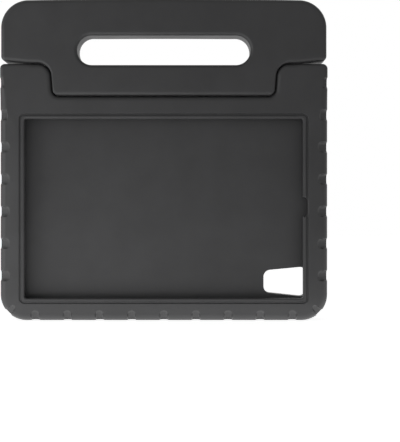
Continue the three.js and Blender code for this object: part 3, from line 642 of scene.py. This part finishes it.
def handle_stations():
    """Places of the sections along X, closer together round the ends and the tongue's sides."""
    turn = np.radians(np.linspace(0, 90, 31))
    ends = HANDLE_HALF - HANDLE_CORNER * (1 - np.cos(turn))
    wing = HANDLE_HALF - WING_CORNER * (1 - np.cos(turn[::3]))
    root = np.linspace(ROOT_START, ROOT_END, 90)
    side = np.linspace(TONGUE_HALF - SIDE_REACH[0], TONGUE_HALF + SIDE_REACH[1], 44)
    rest = np.concatenate([np.arange(0, 66, 1.6), [84, 86]])
    x = np.unique(np.round(np.concatenate([ends, wing, root, side, rest]), 3))
    x = x[np.concatenate([[True], np.diff(x) > 0.012])]
    return np.concatenate([-x[:0:-1], x])


def edge_fall(x, z, outline, normals, edge):
    """How far a face falls away at each point: a quarter round of the edge size that holds at the
    nearest outline point, full radius on the outline and 0 where it ends. The distance runs along
    that outline point's own direction; the first and last rows and columns are on the outline."""
    points = np.stack([x.ravel(), z.ravel()], 1).astype(np.float32)
    line = outline.astype(np.float32)
    nearest = np.concatenate([
        ((part[:, None, :] - line[None]) ** 2).sum(-1).argmin(1)
        for part in np.array_split(points, 40)])
    away = -((points - outline[nearest]) * normals[nearest]).sum(1)
    away = np.clip(away, 0, None).reshape(x.shape)
    away[:, [0, -1]] = 0
    away[[0, -1]] = 0
    radius = edge[nearest].reshape(x.shape)
    left = np.clip(radius - away, 0, None)
    return radius - np.sqrt(np.clip(radius ** 2 - left ** 2, 0, None))


def crowded(count):
    """Numbers from 0 to 1 that stand closer together at both ends: half of 1 - cos a."""
    return (1 - np.cos(np.pi * np.linspace(0, 1, count))) / 2


def handle_block(shape):
    """Sections in Y and Z set side by side along X. Each runs up the flat front, over the top, down
    the back and under the bottom; both faces fall away by a quarter round near the outline."""
    x = handle_stations()
    low, high = lower_edge(x), upper_edge(x)
    right = np.linspace(low[-1], high[-1], 42)[1:-1]
    left = np.linspace(high[0], low[0], 42)[1:-1]
    outline = even_steps(np.vstack([
        np.column_stack([x, low]), np.column_stack([np.full(len(right), HANDLE_HALF), right]),
        np.column_stack([x, high])[::-1], np.column_stack([np.full(len(left), -HANDLE_HALF), left]),
    ]), HANDLE_POINTS)
    normals = outward(outline)
    swell = shape.swell / MM
    edge_x, edge_z = np.abs(outline[:, 0]), outline[:, 1]
    upright = np.abs(normals[:, 0]) * ((edge_x < HANDLE_HALF - 20) & (edge_z < WING_BOTTOM))
    front = shape.handle_edge / MM + upright * (shape.tongue_edge - shape.handle_edge) / MM
    below = ease(-normals[:, 1], -0.2, 0.9) * (edge_x > TONGUE_HALF)
    ending = ease(edge_x, HANDLE_HALF - 10, HANDLE_HALF - 3) * np.abs(normals[:, 0])
    tongue = (edge_z < WING_BOTTOM - 6) | (edge_x < TONGUE_HALF + 1) & (edge_z < AXIS_Z + 12)
    back = CREASE + (WING_BACK - CREASE) * below + (HANDLE_END - CREASE) * ending * (1 - below)
    back = np.where(tongue, ease(edge_z, AXIS_Z - KNUCKLE + 1, AXIS_Z - 2) + 0.02, back)
    thick = handle_back(outline[:, 0], outline[:, 1], swell) - FRONT_Y
    front, back = np.minimum(front, thick * FRONT_SHARE), np.minimum(back, thick * BACK_SHARE)
    front_z = low[:, None] + (high - low)[:, None] * crowded(56)
    back_z = high[:, None] - (high - low)[:, None] * crowded(84)
    front_x = np.broadcast_to(x[:, None], front_z.shape)
    back_x = np.broadcast_to(x[:, None], back_z.shape)
    front_y = FRONT_Y + edge_fall(front_x, front_z, outline, normals, front)
    back_y = handle_back(back_x, back_z, swell) - edge_fall(back_x, back_z, outline, normals, back)
    back_y = np.maximum(back_y, FRONT_Y + THINNEST)
    share = np.array([0.25, 0.5, 0.75])
    top_y = front_y[:, -1:] + (back_y[:, :1] - front_y[:, -1:]) * share
    bottom_y = back_y[:, -1:] + (front_y[:, :1] - back_y[:, -1:]) * share
    ring_y = np.concatenate([front_y, top_y, back_y, bottom_y], 1)
    top_z, bottom_z = (np.repeat(edge[:, None], len(share), 1) for edge in (high, low))
    ring_z = np.concatenate([front_z, top_z, back_z, bottom_z], 1)
    ring_x = np.broadcast_to(x[:, None], ring_y.shape)
    return mesh_object("foam_handle", np.stack([ring_x, ring_y, ring_z], -1))


def slot_tool(shape):
    """Finger slot: a rounded slit that flares by a quarter round on the front and the curved back."""
    flare, swell = shape.slot_flare / MM, shape.swell / MM
    half = SLOT_HEIGHT / 2
    corners = rectangle(SLOT_HALF, SLOT_MIDDLE - half, SLOT_MIDDLE + half, half - 0.05)
    points = rounded_outline(corners, SLOT_POINTS)
    normals = outward(points)
    late, early = quarter_round(11)
    rings = [level(points, normals, flare, FRONT_Y - STAND_OUT)]
    for grow, deep in zip(flare * late, flare * early):
        rings.append(level(points, normals, grow, FRONT_Y - PAST + deep))
    for grow, deep in zip(flare * early, flare * late):
        ring = level(points, normals, grow, 0.0)
        ring[:, 1] = handle_back(ring[:, 0], ring[:, 2], swell) + PAST - deep
        rings.append(ring)
    rings.append(level(points, normals, flare, BACK_Y + 3))
    return mesh_object("finger slot", rings)


def wing_clearance(side):
    """Room round a shoulder that the wing keeps clear of through the whole fold."""
    arc, rise = hinge_arc(math.pi / 2 + FOLD_OVERRUN, 1.5 * math.pi)
    far_y, far_z = AXIS_Y + BEYOND, AXIS_Z - BEYOND
    shape = np.vstack([[[far_y, far_z], [far_y, AXIS_Z + rise]], arc, [[AXIS_Y, far_z]]])
    near, far = TONGUE_HALF, HALF_WIDTH + 5
    return prism_x("wing clearance", shape[::-1], [near, far] if side > 0 else [-far, -near])


def moulded_grain():
    """Shader group for moulded surfaces: rounded pebbles from cell distances, fine noise over them,
    and a slow cloud that shifts colour and roughness. Colour, Roughness and Height come out."""
    if "moulded grain" in bpy.data.node_groups:
        return bpy.data.node_groups["moulded grain"]
    group = bpy.data.node_groups.new("moulded grain", "ShaderNodeTree")
    face = group.interface
    for way in ("INPUT", "OUTPUT"):
        face.new_socket("Colour", in_out=way, socket_type="NodeSocketColor")
    for name, value in GRAIN_INPUTS.items():
        face.new_socket(name, in_out="INPUT", socket_type="NodeSocketFloat").default_value = value
    for name in ("Roughness", "Height"):
        face.new_socket(name, in_out="OUTPUT", socket_type="NodeSocketFloat")
    node, wire = group.nodes.new, group.links.new
    inputs, outputs = node("NodeGroupInput"), node("NodeGroupOutput")
    place, pebble = node("ShaderNodeTexCoord"), node("ShaderNodeTexVoronoi")
    dust, cloud = node("ShaderNodeTexNoise"), node("ShaderNodeTexNoise")
    pebble.feature = "SMOOTH_F1"
    pebble.inputs["Smoothness"].default_value = PEBBLE_ROUNDNESS
    dust.inputs["Detail"].default_value = 3
    cloud.inputs["Detail"].default_value = 3
    finer = node("ShaderNodeMath")
    finer.operation, finer.inputs[1].default_value = "MULTIPLY", DUST_FINENESS
    for texture in (pebble, dust, cloud):
        wire(place.outputs["Object"], texture.inputs["Vector"])
    wire(inputs.outputs["Grain per metre"], pebble.inputs["Scale"])
    wire(inputs.outputs["Grain per metre"], finer.inputs[0])
    wire(finer.outputs[0], dust.inputs["Scale"])
    wire(inputs.outputs["Cloud per metre"], cloud.inputs["Scale"])

    def calculate(operation, a, b, c=None):
        step = node("ShaderNodeMath")
        step.operation = operation
        for socket, value in zip(step.inputs, (a, b, c)):
            if isinstance(value, bpy.types.NodeSocket):
                wire(value, socket)
            elif value is not None:
                socket.default_value = value
        return step.outputs[0]

    dome = calculate("SUBTRACT", 1.0, pebble.outputs["Distance"])
    height = calculate("MULTIPLY_ADD", dust.outputs["Fac"], DUST_HEIGHT, dome)
    wire(height, outputs.inputs["Height"])
    drift = calculate("SUBTRACT", cloud.outputs["Fac"], 0.5)
    speck = calculate("SUBTRACT", dust.outputs["Fac"], 0.5)
    mixed = calculate("MULTIPLY_ADD", speck, DUST_TINT, drift)
    gain = calculate("MULTIPLY_ADD", mixed, inputs.outputs["Colour change"], 1.0)
    tint = node("ShaderNodeVectorMath")
    tint.operation = "SCALE"
    wire(inputs.outputs["Colour"], tint.inputs[0])
    wire(gain, tint.inputs["Scale"])
    wire(tint.outputs[0], outputs.inputs["Colour"])
    rough = calculate(
        "MULTIPLY_ADD", mixed, inputs.outputs["Roughness change"], inputs.outputs["Roughness"])
    wire(rough, outputs.inputs["Roughness"])
    return group


def moulded_material(name, colour, roughness, grain_size, grain_depth,
                     specular, cloud, colour_change, roughness_change):
    """Material with the grain group placed in it with its own values, and its height as bump."""
    if name in bpy.data.materials:
        return bpy.data.materials[name]
    material = bpy.data.materials.new(name)
    material.use_nodes = True
    tree = material.node_tree
    shader = tree.nodes["Principled BSDF"]
    shader.inputs["Specular IOR Level"].default_value = specular
    grain = tree.nodes.new("ShaderNodeGroup")
    grain.node_tree = moulded_grain()
    grain.inputs["Colour"].default_value = (*colour, 1)
    grain.inputs["Roughness"].default_value = roughness
    grain.inputs["Grain per metre"].default_value = 1 / grain_size
    grain.inputs["Cloud per metre"].default_value = cloud
    grain.inputs["Colour change"].default_value = colour_change
    grain.inputs["Roughness change"].default_value = roughness_change
    bump = tree.nodes.new("ShaderNodeBump")
    bump.inputs["Strength"].default_value = 1.0
    bump.inputs["Distance"].default_value = grain_depth
    tree.links.new(grain.outputs["Height"], bump.inputs["Height"])
    tree.links.new(bump.outputs["Normal"], shader.inputs["Normal"])
    tree.links.new(grain.outputs["Colour"], shader.inputs["Base Color"])
    tree.links.new(grain.outputs["Roughness"], shader.inputs["Roughness"])
    return material


def foam_material(finish):
    """The one foam that body and handle share."""
    return moulded_material("moulded foam", finish.foam_colour, finish.foam_roughness,
                            finish.grain_size, finish.grain_depth, **FOAM_LOOK)


class FOAMCASE_OT_body(bpy.types.Operator):
    """Foam body with its rim, window, pocket, openings, studs and recess"""

    bl_idname = "foamcase.body"
    bl_label = "Build the case body"

    def execute(self, context):
        shape = context.scene.foam_case_shape
        body = body_block(shape)
        tools = [(shoulder_rounding(), "DIFFERENCE"), (tongue_room(), "DIFFERENCE")]
        outer = KNUCKLE_X + TONGUE_DRAFT + SHOULDER_INNER + 2
        bush = PIN_RADIUS + BUSH_WALL + 2 * FIT
        bore = [(bush, KNUCKLE_X - 1), (bush, KNUCKLE_X + PIN_OUT + 2 * FIT + 1)]
        for side in (-1, 1):
            ends = [(KNUCKLE, KNUCKLE_X), (KNUCKLE, outer)]
            tools.append((turned("knuckle", ends, side, 160), "UNION"))
            tools.append((turned("bush bore", bore, side), "DIFFERENCE"))
            for inset, radius, lowest in STUD_ROWS:
                x = side * (HALF_WIDTH - inset)
                tools += [(stud(x, lowest + i * NOTCH_PITCH, radius), "UNION")
                          for i in range(STUDS_IN_ROW)]
        low, high = POCKET_MIDDLE - WINDOW_HALF_HEIGHT, POCKET_MIDDLE + WINDOW_HALF_HEIGHT
        lens = POCKET_MIDDLE + LENS_RISE
        window = rectangle(WINDOW_HALF, low, high, WINDOW_CORNER)
        notch = rectangle(LENS_REACH, lens - LENS_HALF, lens + LENS_HALF, LENS_REACH * 0.8, WINDOW_HALF)
        pocket = rectangle(POCKET_HALF, POCKET_LOW, POCKET_HIGH, POCKET_CORNER)
        channel = rectangle(CHANNEL_HALF, CHANNEL_LOW, CHANNEL_HIGH, CHANNEL_CORNER)
        cutters = [
            groove_tool(shape.groove_depth / MM),
            pocket_tool("window", window, WINDOW_POINTS, FRONT_Y, POCKET_FRONT + 1,
                        front_flare=1.1),
            pocket_tool("lens notch", notch, LENS_POINTS, FRONT_Y, POCKET_FRONT + 1,
                        front_flare=0.9),
            pocket_tool("pocket", pocket, POCKET_POINTS, POCKET_FRONT, POCKET_BACK,
                        front_round=0.6, back_round=1.2),
            pocket_tool("pen channel", channel, CHANNEL_POINTS, BACK_Y - CHANNEL_DEPTH, BACK_Y,
                        back_flare=0.6, front_round=1.2),
            pocket_tool("camera hole", CAMERA_CORNERS, CAMERA_POINTS, POCKET_BACK - 1, BACK_Y,
                        back_flare=CAMERA_BEVEL),
        ]
        cutters += [side_cut(z0, z1, 1) for z0, z1 in RIGHT_CUTS]
        cutters += [side_cut(z0, z1, -1) for z0, z1 in LEFT_CUTS]
        middle = (POCKET_FRONT + POCKET_BACK) / 2
        sound = [(SOUND_RADIUS, middle)]
        sound += [(SOUND_RADIUS + grow, BACK_Y + y) for grow, y in SOUND_MOUTH]
        cutters += [round_tool("sound hole", HALF_WIDTH - SOUND_INSET, z, sound) for z in SOUND_RIGHT]
        cutters += [round_tool("sound hole", SOUND_INSET - HALF_WIDTH, z, sound) for z in SOUND_LEFT]
        carve(body, tools + [(tool, "DIFFERENCE") for tool in cutters])
        soften(body)
        body.data.materials.clear()
        body.data.materials.append(foam_material(context.scene.foam_case_finish))
        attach(body, "case")
        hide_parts("case_body")
        return {"FINISHED"}


class FOAMCASE_OT_handle(bpy.types.Operator):
    """Carrying handle with its tongue, wings and finger slot"""

    bl_idname = "foamcase.handle"
    bl_label = "Build the carrying handle"

    def execute(self, context):
        shape = context.scene.foam_case_shape
        handle = handle_block(shape)
        barrel = KNUCKLE - BARREL_INSET
        ends = [(barrel, TONGUE_HALF - 2 * TONGUE_CORNER), (barrel, TONGUE_HALF - BARREL_INSET)]
        barrels = [(turned("tongue barrel", ends, side, 128), "UNION") for side in (-1, 1)]
        tools = [wing_clearance(side) for side in (-1, 1)]
        tools += [turned("pin cavity", pin_profile(FIT), side) for side in (-1, 1)]
        carve(handle, barrels + [(tool, "DIFFERENCE") for tool in tools + [slot_tool(shape)]])
        soften(handle)
        handle.data.materials.clear()
        handle.data.materials.append(foam_material(context.scene.foam_case_finish))
        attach(handle, "handle")
        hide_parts("carry_handle")
        return {"FINISHED"}


class FOAMCASE_OT_hinge(bpy.types.Operator):
    """Plastic finish of the hinge's pins and bushes"""

    bl_idname = "foamcase.hinge"
    bl_label = "Finish the hinge"

    def execute(self, context):
        finish = context.scene.foam_case_finish
        plastic = moulded_material(
            "hinge plastic", finish.plastic_colour, PLASTIC_ROUGHNESS,
            PLASTIC_GRAIN * MM, PLASTIC_GRAIN_DEPTH * MM, **PLASTIC_LOOK)
        for name in ("hinge_pin_left", "hinge_pin_right", "hinge_bush_left", "hinge_bush_right"):
            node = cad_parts[name]
            if not node.material_slots:
                raise RuntimeError(name + " has no material slot to fill")
            for slot in node.material_slots:
                slot.material = plastic
        return {"FINISHED"}


def area_lamp(name, place, target, width, height, power):
    """Rectangular lamp at a place in metres, turned to face the target, and unseen by the camera."""
    lamp = bpy.data.lights.new(name, "AREA")
    lamp.shape, lamp.size, lamp.size_y, lamp.energy = "RECTANGLE", width, height, power
    holder = bpy.data.objects.new(name, lamp)
    bpy.context.scene.collection.objects.link(holder)
    aim = np.array(target) - np.array(place)
    holder.location = place
    holder.visible_camera = False
    tilt = math.atan2(math.hypot(aim[0], aim[1]), -aim[2])
    holder.rotation_euler = (tilt, 0, math.atan2(aim[1], aim[0]) - math.pi / 2)


def background_rays(tree):
    """Socket that is 1 for the rays that see the background: camera, glossy and transmission rays."""
    rays = tree.nodes.new("ShaderNodeLightPath")
    seen = rays.outputs["Is Camera Ray"]
    for name in ("Is Glossy Ray", "Is Transmission Ray"):
        either = tree.nodes.new("ShaderNodeMath")
        either.operation = "MAXIMUM"
        tree.links.new(seen, either.inputs[0])
        tree.links.new(rays.outputs[name], either.inputs[1])
        seen = either.outputs[0]
    return seen


class FOAMCASE_OT_studio(bpy.types.Operator):
    """Pale floor and surroundings, soft lamps, and the camera that sees what the photograph sees"""

    bl_idname = "foamcase.studio"
    bl_label = "Set up the studio"

    def execute(self, context):
        studio = context.scene.foam_case_studio
        floor = self.floor(studio)
        self.surroundings()
        for name, place, target, width, height, power, share in LAMPS:
            area_lamp(name, place, target, width, height, getattr(studio, power) * share)
        lens_view = bpy.data.cameras.new("photo camera")
        across, down = PHOTO_SIZE
        frame_height = down * PHOTO_SCALE * MM
        lens_view.sensor_width = SENSOR
        lens_view.lens = SENSOR * studio.distance / frame_height
        camera = bpy.data.objects.new("photo camera", lens_view)
        context.scene.collection.objects.link(camera)
        px, pz, z = PHOTO_ANCHOR
        camera.location = ((across / 2 - px) * PHOTO_SCALE * MM,
                           FRONT_Y * MM - studio.distance,
                           (z + (pz - down / 2) * PHOTO_SCALE) * MM)
        camera.rotation_euler = (math.pi / 2, 0, 0)
        context.scene.camera = camera
        return {"FINISHED"}

    def floor(self, studio):
        """Square sheet under the case. A glow brings what the camera sees of it up to white."""
        mesh = bpy.data.meshes.new("floor")
        corners = [(x * FLOOR_HALF, y * FLOOR_HALF, 0) for x, y in ((-1, -1), (1, -1), (1, 1), (-1, 1))]
        mesh.from_pydata(corners, [], [(0, 1, 2, 3)])
        piece = bpy.data.objects.new("floor", mesh)
        bpy.context.scene.collection.objects.link(piece)
        material = bpy.data.materials.new("floor paper")
        material.use_nodes = True
        tree = material.node_tree
        shader = tree.nodes["Principled BSDF"]
        shader.inputs["Base Color"].default_value = (*studio.floor_colour, 1)
        shader.inputs["Roughness"].default_value = 0.9
        shader.inputs["Specular IOR Level"].default_value = 0.0
        seen = background_rays(tree)
        shader.inputs["Emission Color"].default_value = (1, 1, 1, 1)
        glow = tree.nodes.new("ShaderNodeMath")
        glow.operation = "MULTIPLY"
        glow.inputs[1].default_value = FLOOR_GLOW
        tree.links.new(seen, glow.inputs[0])
        tree.links.new(glow.outputs[0], shader.inputs["Emission Strength"])
        mesh.materials.append(material)
        return piece

    def surroundings(self):
        """World that the camera, gloss and glass see as white, and that lights the scene softly."""
        world = bpy.data.worlds.new("studio")
        bpy.context.scene.world = world
        world.use_nodes = True
        tree = world.node_tree
        light = tree.nodes["Background"]
        light.inputs["Color"].default_value = (1, 1, 1, 1)
        strength = tree.nodes.new("ShaderNodeMapRange")
        tree.links.new(background_rays(tree), strength.inputs["Value"])
        strength.inputs["To Min"].default_value = SURROUNDING_LIGHT
        strength.inputs["To Max"].default_value = 1.0
        tree.links.new(strength.outputs["Result"], light.inputs["Strength"])


class FOAMCASE_PT_panel(bpy.types.Panel):
    """Lists the sizes, finishes and steps of the case"""

    bl_idname = "FOAMCASE_PT_panel"
    bl_label = "Foam tablet case"
    bl_space_type = "VIEW_3D"
    bl_region_type = "UI"
    bl_category = "Foam Case"

    def draw(self, context):
        scene = context.scene
        for settings in (scene.foam_case_shape, scene.foam_case_finish, scene.foam_case_studio):
            box = self.layout.box()
            for name in settings.bl_rna.properties.keys():
                if name not in {"rna_type", "name"}:
                    box.prop(settings, name)
        for step in STEPS:
            self.layout.operator(step.bl_idname)


STEPS = (FOAMCASE_OT_body, FOAMCASE_OT_handle, FOAMCASE_OT_hinge, FOAMCASE_OT_studio)
CLASSES = (FoamCaseShape, FoamCaseFinish, FoamCaseStudio, *STEPS, FOAMCASE_PT_panel)


def register():
    """Makes the add-on's classes and settings known."""
    for kind in CLASSES:
        bpy.utils.register_class(kind)
    bpy.types.Scene.foam_case_shape = PointerProperty(type=FoamCaseShape)
    bpy.types.Scene.foam_case_finish = PointerProperty(type=FoamCaseFinish)
    bpy.types.Scene.foam_case_studio = PointerProperty(type=FoamCaseStudio)


def unregister():
    """Takes them away again, in reverse."""
    del bpy.types.Scene.foam_case_studio
    del bpy.types.Scene.foam_case_finish
    del bpy.types.Scene.foam_case_shape
    for kind in reversed(CLASSES):
        bpy.utils.unregister_class(kind)


def main():
    """Builds the case and its studio."""
    register()
    bpy.context.scene.view_settings.view_transform = "Standard"
    bpy.ops.foamcase.body()
    bpy.ops.foamcase.handle()
    bpy.ops.foamcase.hinge()
    bpy.ops.foamcase.studio()


if __name__ == "__main__":
    main()
